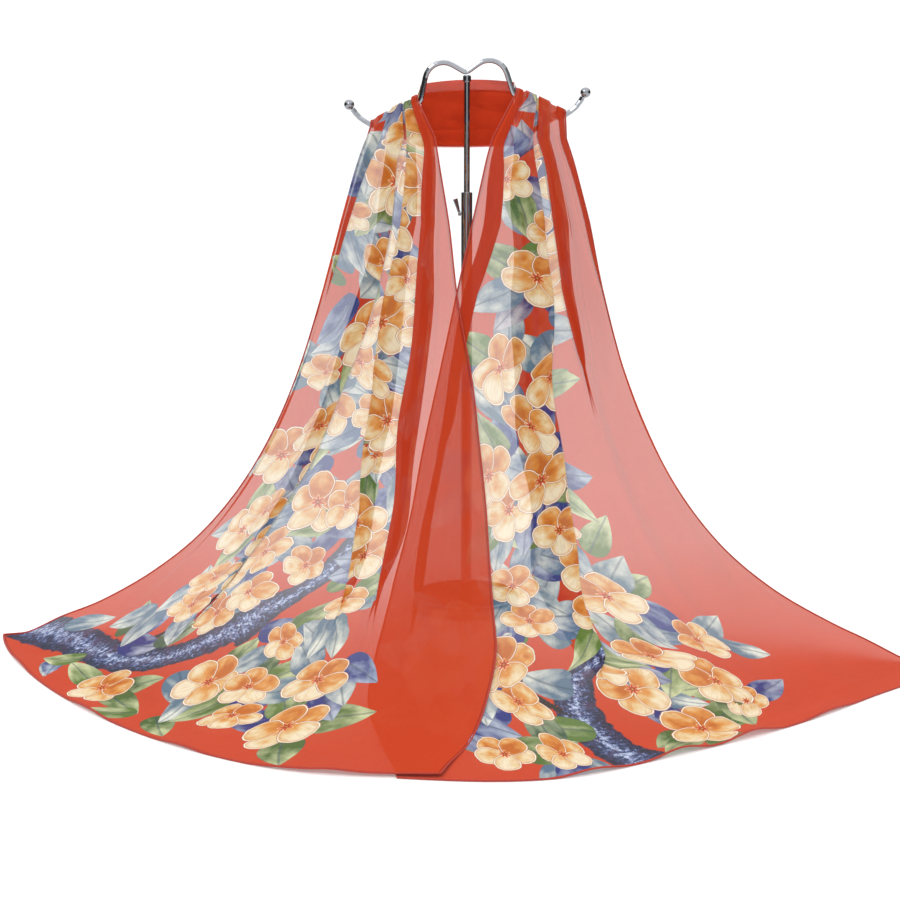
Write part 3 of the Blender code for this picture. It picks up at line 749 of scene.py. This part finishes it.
def draw_noise(tree, vector, scale, detail, roughness=0.5):
    """Noise from 0 to 1."""
    inputs = {"Vector": vector, "Scale": scale, "Detail": detail, "Roughness": roughness}
    return add_node(tree, "ShaderNodeTexNoise", inputs).outputs[0]


def map_range(tree, value, start, end, low=0.0, high=1.0):
    """Low where the value is at the start and high at the end, and no further."""
    return add_node(tree, "ShaderNodeMapRange", {0: value, 1: start, 2: end, 3: low, 4: high}).outputs[0]


def mix_colours(tree, share, first, second):
    """The first colour with a share of the second, which is a socket or a hex colour."""
    if isinstance(second, str):
        second = (*linear(second), 1)
    return add_node(tree, "ShaderNodeMix", {0: share, 6: first, 7: second}, data_type="RGBA").outputs[2]


def ramp_colours(tree, value, stops):
    """The outputs of a colour ramp; each stop is a place, a hex colour and an alpha."""
    node = add_node(tree, "ShaderNodeValToRGB", {0: value})
    ramp = node.color_ramp
    while len(ramp.elements) < len(stops):
        ramp.elements.new(0.5)
    for element, (place, colour, alpha) in zip(ramp.elements, stops):
        element.position = place
        element.color = (*linear(colour), alpha)
    return node.outputs


def motif_group(name):
    """A node group that turns a place in a motif into its colour and how much it covers."""
    tree = bpy.data.node_groups.new(name, "ShaderNodeTree")
    tree.interface.new_socket("Place", in_out="INPUT", socket_type="NodeSocketVector")
    tree.interface.new_socket("Colour", in_out="OUTPUT", socket_type="NodeSocketColor")
    tree.interface.new_socket("Cover", in_out="OUTPUT", socket_type="NodeSocketFloat")
    place = add_node(tree, "NodeGroupInput").outputs["Place"]
    return tree, place, add_node(tree, "ShaderNodeSeparateXYZ", {0: place}).outputs


def close_group(tree, colour, cover):
    """Gives a motif's group its outputs."""
    add_node(tree, "NodeGroupOutput", {"Colour": colour, "Cover": cover})
    return tree


def make_petal_group():
    """A rounded petal: X runs from the heart to the rim, Y across, Z says how orange it is."""
    tree, place, axes = motif_group("Printed petal")
    widening = calculate(tree, "MULTIPLY_ADD", axes[0], 0.20, 1.0)
    across = calculate(tree, "DIVIDE", axes[1], widening)
    level = add_node(tree, "ShaderNodeCombineXYZ", {0: axes[0], 1: across}).outputs[0]
    radius = add_node(tree, "ShaderNodeVectorMath", {0: level}, operation="LENGTH").outputs["Value"]
    spread = scale_vector(tree, place, (1.1, 1.1, 37.0))
    cloudy = draw_noise(tree, spread, 1.0, 2.0)
    uneven = calculate(tree, "MULTIPLY_ADD", cloudy, 0.30, -0.15)
    rim = calculate(tree, "ADD", radius, uneven)
    cover = map_range(tree, rim, 1.0, 0.96)
    # Orange gathers towards the heart and in clouds, as dye that was brushed on wet.
    inward = calculate(tree, "MULTIPLY_ADD", axes[0], -0.34, axes[2])
    orange = calculate(tree, "MULTIPLY_ADD", cloudy, 1.5, -0.70)
    orange = calculate(tree, "ADD", inward, orange)
    dye = ramp_colours(
        tree, orange, ((0.0, "efe0c0", 1), (0.28, "e6c894", 1), (0.58, "dc9342", 1), (0.90, "c26410", 1))
    )[0]
    stretched = scale_vector(tree, place, (1.2, 16.0, 37.0))
    streaks = draw_noise(tree, stretched, 1.0, 1.0)
    veins = map_range(tree, streaks, 0.52, 0.70, high=0.28)
    dye = mix_colours(tree, veins, dye, "b5763a")
    # A pale line inside a red-brown one goes round the petal.
    lines = ramp_colours(
        tree,
        rim,
        (
            (0.66, "d9a066", 0.0),
            (0.89, "c98a4c", 0.60),
            (0.90, "fbf4e4", 0.90),
            (0.94, "fbf4e4", 0.90),
            (0.955, "8e3a1e", 0.85),
            (1.0, "8e3a1e", 0.85),
        ),
    )
    dye = mix_colours(tree, lines[1], dye, lines[0])
    return close_group(tree, dye, cover)


def make_heart_group():
    """The heart of a blossom: a red-orange star with pale anther tips."""
    tree, place, axes = motif_group("Printed heart")
    radius = scale_vector(tree, place, (1, 1, 0))
    radius = add_node(tree, "ShaderNodeVectorMath", {0: radius}, operation="LENGTH").outputs["Value"]
    turn = calculate(tree, "ARCTAN2", axes[1], axes[0])
    start = calculate(tree, "MULTIPLY", axes[2], 20.0)
    turn = calculate(tree, "MULTIPLY_ADD", turn, 7.0, start)
    star = calculate(tree, "SINE", turn)
    reach = calculate(tree, "MULTIPLY_ADD", star, 0.26, 0.66)
    share = calculate(tree, "DIVIDE", radius, reach)
    cover = map_range(tree, share, 1.0, 0.85)
    dye = ramp_colours(
        tree,
        share,
        (
            (0.0, "e9b64e", 1),
            (0.22, "8c2612", 1),
            (0.50, "c9481c", 1),
            (0.78, "d96c2a", 1),
            (0.90, "f5dfae", 1),
        ),
    )[0]
    return close_group(tree, dye, cover)


def make_leaf_group():
    """A leaf, round at its base and pointed at its tip: X runs along it, Y across, Z picks its colours."""
    tree, place, axes = motif_group("Printed leaf")
    base = calculate(tree, "ADD", axes[0], 1.0)
    base = calculate(tree, "MAXIMUM", base, 0.0)
    base = calculate(tree, "SQRT", base)
    tip = calculate(tree, "MULTIPLY_ADD", axes[0], -0.92, 0.92)
    half = calculate(tree, "MULTIPLY", base, tip)
    half = calculate(tree, "MAXIMUM", half, 0.001)
    off_rib = calculate(tree, "ABSOLUTE", axes[1])
    share = calculate(tree, "DIVIDE", off_rib, half)
    cover = map_range(tree, share, 1.0, 0.95)
    spread = scale_vector(tree, place, (1.3, 1.3, 41.0))
    cloudy = draw_noise(tree, spread, 1.0, 3.0)
    paleness = calculate(tree, "MULTIPLY_ADD", cloudy, 2.4, -0.85)
    paleness = add_node(
        tree, "ShaderNodeMath", {0: axes[0], 1: 0.60, 2: paleness}, operation="MULTIPLY_ADD"
    )
    paleness.use_clamp = True
    dark = ramp_colours(
        tree,
        axes[2],
        (
            (0.05, "4c6990", 1),
            (0.28, "5f7a86", 1),
            (0.36, "5f7a32", 1),
            (0.50, "43602a", 1),
            (0.68, "16307c", 1),
            (0.95, "341f66", 1),
        ),
    )[0]
    pale = ramp_colours(
        tree,
        axes[2],
        (
            (0.05, "dadfda", 1),
            (0.28, "e2e3d4", 1),
            (0.36, "d2d6a8", 1),
            (0.50, "bcc492", 1),
            (0.68, "a9b8cc", 1),
            (0.95, "c4bfc4", 1),
        ),
    )[0]
    dye = mix_colours(tree, paleness.outputs[0], dark, pale)
    # Side veins leave the rib at a slant.
    slant = calculate(tree, "MULTIPLY", off_rib, 1.6)
    slant = calculate(tree, "MULTIPLY_ADD", axes[0], 4.5, slant)
    slant = calculate(tree, "PINGPONG", slant, 1.0)
    veins = map_range(tree, slant, 0.10, 0.0, high=0.25)
    rib = map_range(tree, off_rib, 0.09, 0.02, high=0.55)
    rim = map_range(tree, share, 0.90, 0.97, high=0.35)
    lines = calculate(tree, "MAXIMUM", veins, rib)
    lines = calculate(tree, "MAXIMUM", lines, rim)
    dye = mix_colours(tree, lines, dye, "33475c")
    return close_group(tree, dye, cover)


def make_bark_group():
    """Bark: X runs across in half-widths, Y along in metres, Z is the half-width. Twigs are dark."""
    tree, place, axes = motif_group("Printed bark")
    spread = scale_vector(tree, place, (1.2, 90.0, 300.0))
    knotty = draw_noise(tree, spread, 1.0, 3.0)
    off = calculate(tree, "ABSOLUTE", axes[0])
    edge = calculate(tree, "MULTIPLY_ADD", knotty, 0.45, -0.26)
    edge = calculate(tree, "ADD", off, edge)
    cover = map_range(tree, edge, 0.98, 0.90)
    grain = scale_vector(tree, place, (5.0, 260.0, 300.0))
    speckle = draw_noise(tree, grain, 1.0, 6.0, 0.75)
    lit = calculate(tree, "MULTIPLY_ADD", off, -0.22, speckle)
    dye = ramp_colours(
        tree, lit, ((0.25, "1d2233", 1), (0.40, "343d5c", 1), (0.47, "5a6b9c", 1), (0.56, "c3cfe8", 1))
    )[0]
    tinted = map_range(tree, knotty, 0.50, 0.68, high=0.6)
    dye = mix_colours(tree, tinted, dye, "4b3350")
    twig = map_range(tree, axes[2], 0.009, 0.006)
    dye = mix_colours(tree, twig, dye, "2b2527")
    return close_group(tree, dye, cover)


def new_material(name):
    """A material with its node tree and its shader."""
    material = bpy.data.materials.new(name)
    material.use_nodes = True
    tree = material.node_tree
    return material, tree, tree.nodes["Principled BSDF"]


def finish_chiffon(tree, shader, colour, spot, sizes):
    """Chiffon's dull, slightly sheeny face and its fine crepe weave, drawn coarse enough to show."""
    threads = 1 / sizes.thread_step
    wave = {"Vector": spot, "Scale": threads / 20, "Distortion": 1.2, "Detail": 1.0}
    warp, weft = (
        add_node(tree, "ShaderNodeTexWave", wave, bands_direction=way).outputs["Fac"] for way in "XY"
    )
    woven = calculate(tree, "ADD", warp, weft)
    crepe = draw_noise(tree, spot, 90.0, 4.0)
    bump = add_node(tree, "ShaderNodeBump", {"Height": woven, "Strength": 0.12, "Distance": 0.0003})
    crinkle = add_node(
        tree, "ShaderNodeBump", {
            "Height": crepe, "Normal": bump.outputs[0], "Strength": 0.35, "Distance": 0.0025
        }
    )
    tree.links.new(colour, shader.inputs["Base Color"])
    tree.links.new(crinkle.outputs[0], shader.inputs["Normal"])
    shader.inputs["Roughness"].default_value = 0.70
    shader.inputs["IOR"].default_value = 1.54
    # Most of the open weave is holes, which return no glint.
    shader.inputs["Specular IOR Level"].default_value = 0.12
    shader.inputs["Sheen Weight"].default_value = 0.05
    shader.inputs["Sheen Roughness"].default_value = 0.45
    shader.inputs["Sheen Tint"].default_value = (1.0, 0.6, 0.45, 1)
    # Cloth that lies down is seen along its surface, where the threads close its holes; the extra density
    # near the table is also painted shade, standing in for the shaded table under the cloth.
    height = add_node(
        tree, "ShaderNodeSeparateXYZ", {0: add_node(tree, "ShaderNodeTexCoord").outputs["Object"]}
    )
    alpha = add_node(
        tree, "ShaderNodeMapRange", {0: height.outputs[2], 1: 0.015, 2: 0.11, 3: 0.90, 4: 0.77}
    )
    tree.links.new(alpha.outputs[0], shader.inputs["Alpha"])


def make_printed_chiffon(sizes, colours):
    """Polyester chiffon, crepe-woven and print-dyed: one sheer layer is pink, stacked layers are red and
    carry painted shade.
    """
    material, tree, shader = new_material("Polyester chiffon, woven and printed")
    spot = add_node(tree, "ShaderNodeAttribute", attribute_name="cloth").outputs["Vector"]
    axes = add_node(tree, "ShaderNodeSeparateXYZ", {0: spot}).outputs
    flat = add_node(tree, "ShaderNodeCombineXYZ", {0: axes[0], 1: axes[1]}).outputs[0]
    # Painted shade: the ground darkens towards the stacked colour where a tuck's layers lie on each other.
    depth = calculate(tree, "MULTIPLY", axes[2], 0.75)
    ground = add_node(
        tree, "ShaderNodeMix", {0: depth, 6: (*colours.cloth, 1), 7: (*colours.stacked_shade, 1)}, data_type="RGBA"
    ).outputs[2]
    uneven = draw_noise(tree, flat, 14.0, 3.0)
    uneven = map_range(tree, uneven, 0.35, 0.70, high=0.22)
    ground = mix_colours(tree, uneven, ground, "d0481c")
    printed = ground
    groups = {
        "branch": (make_bark_group(), 0),
        "leaf": (make_leaf_group(), SLOT_COUNT["leaf"]),
        "petal": (make_petal_group(), SLOT_COUNT["petal"]),
        "heart": (make_heart_group(), SLOT_COUNT["heart"]),
    }
    for kind, (group, slots) in groups.items():
        names = [f"{kind}_{slot}" for slot in reversed(range(slots))] or [kind]
        for name in names:
            place = add_node(tree, "ShaderNodeAttribute", attribute_name=name).outputs["Vector"]
            drawn = add_node(tree, "ShaderNodeGroup", {}, node_tree=group)
            tree.links.new(place, drawn.inputs["Place"])
            printed = mix_colours(tree, drawn.outputs["Cover"], printed, drawn.outputs["Colour"])
    # The selvedges and the end hem are turned twice, so they are denser and darker.
    far = calculate(tree, "SUBTRACT", sizes.cloth_width, axes[0])
    edge = calculate(tree, "MINIMUM", far, axes[0])
    edge = calculate(tree, "MINIMUM", edge, axes[1])
    hemmed = map_range(tree, edge, 0.0030, 0.0018, high=0.8)
    printed = add_node(
        tree, "ShaderNodeMix", {0: hemmed, 6: printed, 7: (*colours.hem, 1)}, data_type="RGBA"
    ).outputs[2]
    finish_chiffon(tree, shader, printed, flat, sizes)
    return material


def make_plain_chiffon(sizes, colours):
    """The same chiffon, bunched behind the neck and unprinted: many layers, so a dense dark red."""
    material, tree, shader = new_material("Polyester chiffon, bunched, unprinted")
    spot = add_node(tree, "ShaderNodeAttribute", attribute_name="cloth").outputs["Vector"]
    cloudy = draw_noise(tree, spot, 40.0, 3.0)
    cloudy = map_range(tree, cloudy, 0.35, 0.70, high=0.5)
    ground = mix_colours(tree, cloudy, (*linear("e2421b"), 1), "c02f14")
    finish_chiffon(tree, shader, ground, spot, sizes)
    return material


def make_hem_material(colours):
    """Rolled, overlocked chiffon edge: four turns of cloth and thread, opaque and ribbed by stitches."""
    material, tree, shader = new_material("Polyester chiffon, rolled and overlocked hem")
    place = add_node(tree, "ShaderNodeTexCoord").outputs["Object"]
    stitches = draw_noise(tree, place, 700.0, 2.0)
    ground = mix_colours(tree, stitches, (*colours.hem, 1), "c53c22")
    bump = add_node(tree, "ShaderNodeBump", {"Height": stitches, "Strength": 0.4, "Distance": 0.0003})
    tree.links.new(ground, shader.inputs["Base Color"])
    tree.links.new(bump.outputs[0], shader.inputs["Normal"])
    shader.inputs["Roughness"].default_value = 0.75
    shader.inputs["IOR"].default_value = 1.54
    shader.inputs["Sheen Weight"].default_value = 0.1
    return material


def make_chrome(name, colours, roughest):
    """Chrome plate on polished steel: a hard bright mirror, softened here and there by handling."""
    material, tree, shader = new_material(name)
    place = add_node(tree, "ShaderNodeTexCoord").outputs["Object"]
    smears = draw_noise(tree, place, 60.0, 4.0)
    rough = map_range(tree, smears, 0.35, 0.75, 0.04, roughest)
    tone = mix_colours(tree, smears, (*colours.chrome, 1), "868a90")
    lines = draw_noise(tree, place, 900.0, 1.0)
    bump = add_node(tree, "ShaderNodeBump", {"Height": lines, "Strength": 0.04, "Distance": 0.0001})
    tree.links.new(tone, shader.inputs["Base Color"])
    tree.links.new(rough, shader.inputs["Roughness"])
    tree.links.new(bump.outputs[0], shader.inputs["Normal"])
    shader.inputs["Metallic"].default_value = 1.0
    return material


# Operators


class SCARF_OT_halves(Operator):
    """Lays the two printed halves of the scarf and their rolled hems on the stand"""

    bl_idname = "scarf.halves"
    bl_label = "Scarf Halves and Hems"

    def execute(self, context):
        sizes, colours = context.scene.scarf_sizes, context.scene.scarf_colours
        printed = make_printed_chiffon(sizes, colours)
        hem_material = make_hem_material(colours)
        for side in SIDES:
            grid, flat = half_grid(side, sizes)
            mesh, corners = sheet_mesh(f"{side}_half", grid)
            write_print(mesh, corners, flat, side, sizes.print_seed)
            half = link_piece(f"{side}_half", mesh, printed)
            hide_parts(f"{side}_shoulder", f"{side}_fall", f"{side}_spread")
            hem = self.make_hem(side, grid, sizes, hem_material)
        return {"FINISHED"}

    def make_hem(self, side, grid, sizes, material):
        """The rolled hem from the arm down the outer selvedge, round the end and back up the inner edge."""
        route = np.concatenate((grid[:-1, 0], grid[-1, :], grid[-2::-1, -1]))
        keep = np.concatenate(([True], np.linalg.norm(np.diff(route, axis=0), axis=1) > 0.0004))
        route = route[keep & (route[:, 1] < 0.0)]
        route[:, 2] = np.maximum(route[:, 2], sizes.hem_radius + 0.0002)
        curve = bpy.data.curves.new(f"{side}_hem", "CURVE")
        curve.dimensions = "3D"
        curve.bevel_depth = sizes.hem_radius
        curve.bevel_resolution = 2
        curve.use_fill_caps = True
        spline = curve.splines.new("POLY")
        spline.points.add(len(route) - 1)
        spline.points.foreach_set("co", np.concatenate((route, np.ones((len(route), 1))), axis=1).ravel())
        spline.use_smooth = True
        hem = link_piece(f"{side}_hem", curve, material)
        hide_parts(f"{side}_end_hem")
        return hem


class SCARF_OT_neck_band(Operator):
    """Gathers the scarf behind the stand's neck"""

    bl_idname = "scarf.neck_band"
    bl_label = "Neck Band"

    def execute(self, context):
        sizes, colours = context.scene.scarf_sizes, context.scene.scarf_colours
        grid, flat = self.band_grid(sizes)
        mesh, corners = sheet_mesh("neck_band_cloth", grid)
        write_corners(mesh, "cloth", flat.reshape(-1, 3)[corners])
        band = link_piece("neck_band_cloth", mesh, make_plain_chiffon(sizes, colours))
        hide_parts("neck_band")
        return {"FINISHED"}

    def band_grid(self, sizes):
        """Points of the gathered band: columns from left to right, rows up and down through its passes."""
        columns = np.linspace(0, 1, BAND_COLUMNS)
        arch = 4 * columns * (1 - columns)
        left, right = SHOULDERS["left"], SHOULDERS["right"]
        x = left[2] + BAND_GAP + (right[2] - left[2] - 2 * BAND_GAP) * columns
        bottom = left[3] + (right[3] - left[3]) * columns - BAND_TOP_RISE * arch / 4
        tilt = (right[4] - left[4] - right[3] + left[3]) * columns + BAND_TOP_RISE * arch * 1.25
        tallest = max(BAND_PASSES)
        rows, gone, places = [], 0.0, []
        passes = list(zip(BAND_PASSES, BAND_PASSES[1:]))
        depth_step = BAND_THICKNESS / len(passes)
        for number, (low, high) in enumerate(passes):
            count = max(4, math.ceil(abs(high - low) / BAND_MESH_STEP))
            for index in range(count + (number == len(passes) - 1)):
                fraction = index / count
                height = low + (high - low) * fraction
                turn = 0.5 * math.exp(-fraction * count) if number else 0.0
                slump = BAND_SLUMP * np.sin(
                    columns * (7 + 2 * number) + number * 1.7
                ) * (1 - abs(2 * fraction - 1))
                depth = BAND_DEPTH + BAND_BOW * arch + depth_step * (number + 0.5 - turn)
                roll = BAND_ROLL * np.sin(height * 240 + columns * 5 + number)
                z = bottom + height + tilt * height / tallest + slump
                rows.append(np.stack((x, depth + roll, z), -1))
                places.append(np.stack((0 * x + gone + abs(height - low), x - left[2], 0 * x), -1))
            gone += abs(high - low)
        return np.array(rows), np.array(places)


class SCARF_OT_stand_finish(Operator):
    """Gives the stand's own pieces their chrome plate"""

    bl_idname = "scarf.stand_finish"
    bl_label = "Stand Finish"

    def execute(self, context):
        colours = context.scene.scarf_colours
        plated = make_chrome("Chrome plate on bent steel wire", colours, 0.12)
        turned = make_chrome("Chrome plate on drawn steel tube", colours, 0.20)
        finishes = {
            "stand_top_wire": plated,
            "ball_left": plated,
            "ball_right": plated,
            "stand_upper_post": plated,
            "stand_lower_tube": turned,
            "stand_base": turned,
            "clamp_screw": turned,
        }
        for name, material in finishes.items():
            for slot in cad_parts[name].material_slots:
                slot.material = material
        return {"FINISHED"}


class SCARF_OT_stage(Operator):
    """Adds the floor, the studio light and the camera"""

    bl_idname = "scarf.stage"
    bl_label = "Stage"

    def execute(self, context):
        self.add_floor()
        self.add_lights()
        self.add_camera()
        self.set_world()
        context.scene.view_settings.view_transform = "Standard"
        return {"FINISHED"}

    def add_floor(self):
        mesh = bpy.data.meshes.new("floor")
        corners = [(x * FLOOR_REACH, y * FLOOR_REACH, 0) for x, y in ((-1, -1), (1, -1), (1, 1), (-1, 1))]
        mesh.from_pydata(corners, [], [(0, 1, 2, 3)])
        floor = bpy.data.objects.new("floor", mesh)
        bpy.context.scene.collection.objects.link(floor)
        material, _, shader = new_material("White paper backdrop, matt")
        shader.inputs["Base Color"].default_value = (0.92, 0.92, 0.92, 1)
        shader.inputs["Roughness"].default_value = 0.9
        shader.inputs["Emission Color"].default_value = (1.0, 1.0, 1.0, 1)
        shader.inputs["Emission Strength"].default_value = 0.12
        mesh.materials.append(material)

    def add_lights(self):
        lights = (
            # name, place, aimed at, size, power in watts
            ("key", (-1.3, -2.0, 2.3), (0.0, -0.15, 0.2), 0.8, 11.0),
            ("fill", (1.8, -1.8, 1.6), (0.0, -0.15, 0.2), 1.8, 3.5),
            ("back", (0.3, 2.2, 2.0), (0.0, 0.0, 0.2), 2.0, 8.0),
        )
        for name, place, target, size, power in lights:
            light = bpy.data.lights.new(name, "AREA")
            light.size = size
            light.energy = power
            lamp = bpy.data.objects.new(name, light)
            lamp.location = place
            lamp.rotation_euler = (Vector(target) - Vector(place)).to_track_quat("-Z", "Y").to_euler()
            bpy.context.scene.collection.objects.link(lamp)

    def add_camera(self):
        camera = bpy.data.cameras.new("camera")
        camera.lens = 60.0
        camera.sensor_width = 36.0
        seen_from = bpy.data.objects.new("camera", camera)
        seen_from.location = (-0.0174, -1.575, 0.4662)
        seen_from.rotation_euler = (math.radians(79.4), 0.0, 0.0)
        bpy.context.scene.collection.objects.link(seen_from)
        bpy.context.scene.camera = seen_from

    def set_world(self):
        """A white studio with dark flags at its sides and over its paper, which edge the chrome."""
        world = bpy.data.worlds.new("Studio")
        world.use_nodes = True
        tree = world.node_tree
        way = add_node(tree, "ShaderNodeTexCoord").outputs["Generated"]
        axes = add_node(tree, "ShaderNodeSeparateXYZ", {0: way}).outputs
        sideways = calculate(tree, "ABSOLUTE", axes[0])
        middle = map_range(tree, sideways, 0.50, 0.36)
        behind = map_range(tree, axes[1], 0.05, 0.35)
        above_paper = map_range(tree, axes[2], 0.20, 0.26)
        overhead = map_range(tree, axes[2], 0.42, 0.60)
        paper = add_node(tree, "ShaderNodeMapRange", {0: above_paper, 3: 1.1, 4: 0.12}).outputs[0]
        tone = mix_colours(tree, behind, (0.8, 0.8, 0.8, 1), paper)
        tone = mix_colours(tree, middle, (0.06, 0.06, 0.06, 1), tone)
        tone = add_node(
            tree, "ShaderNodeMix", {0: overhead, 6: tone, 7: (1.4, 1.4, 1.4, 1)}, data_type="RGBA"
        ).outputs[2]
        tree.links.new(tone, tree.nodes["Background"].inputs["Color"])
        tree.nodes["Background"].inputs["Strength"].default_value = 1.0
        bpy.context.scene.world = world


class SCARF_PT_panel(Panel):
    """Scarf sizes, colours and steps"""

    bl_label = "Chiffon Scarf"
    bl_idname = "SCARF_PT_panel"
    bl_space_type = "VIEW_3D"
    bl_region_type = "UI"
    bl_category = "Scarf"

    def draw(self, context):
        for group in (context.scene.scarf_sizes, context.scene.scarf_colours):
            for name in group.bl_rna.properties.keys():
                if name not in ("rna_type", "name"):
                    self.layout.prop(group, name)
        for operator in OPERATORS:
            self.layout.operator(operator.bl_idname)


OPERATORS = (SCARF_OT_halves, SCARF_OT_neck_band, SCARF_OT_stand_finish, SCARF_OT_stage)
CLASSES = (ScarfSizes, ScarfColours, *OPERATORS, SCARF_PT_panel)


def register():
    for item in CLASSES:
        bpy.utils.register_class(item)
    bpy.types.Scene.scarf_sizes = PointerProperty(type=ScarfSizes)
    bpy.types.Scene.scarf_colours = PointerProperty(type=ScarfColours)


def unregister():
    del bpy.types.Scene.scarf_colours
    del bpy.types.Scene.scarf_sizes
    for item in reversed(CLASSES):
        bpy.utils.unregister_class(item)


def main():
    register()
    bpy.ops.scarf.halves()
    bpy.ops.scarf.neck_band()
    bpy.ops.scarf.stand_finish()
    bpy.ops.scarf.stage()


if __name__ == "__main__":
    main()
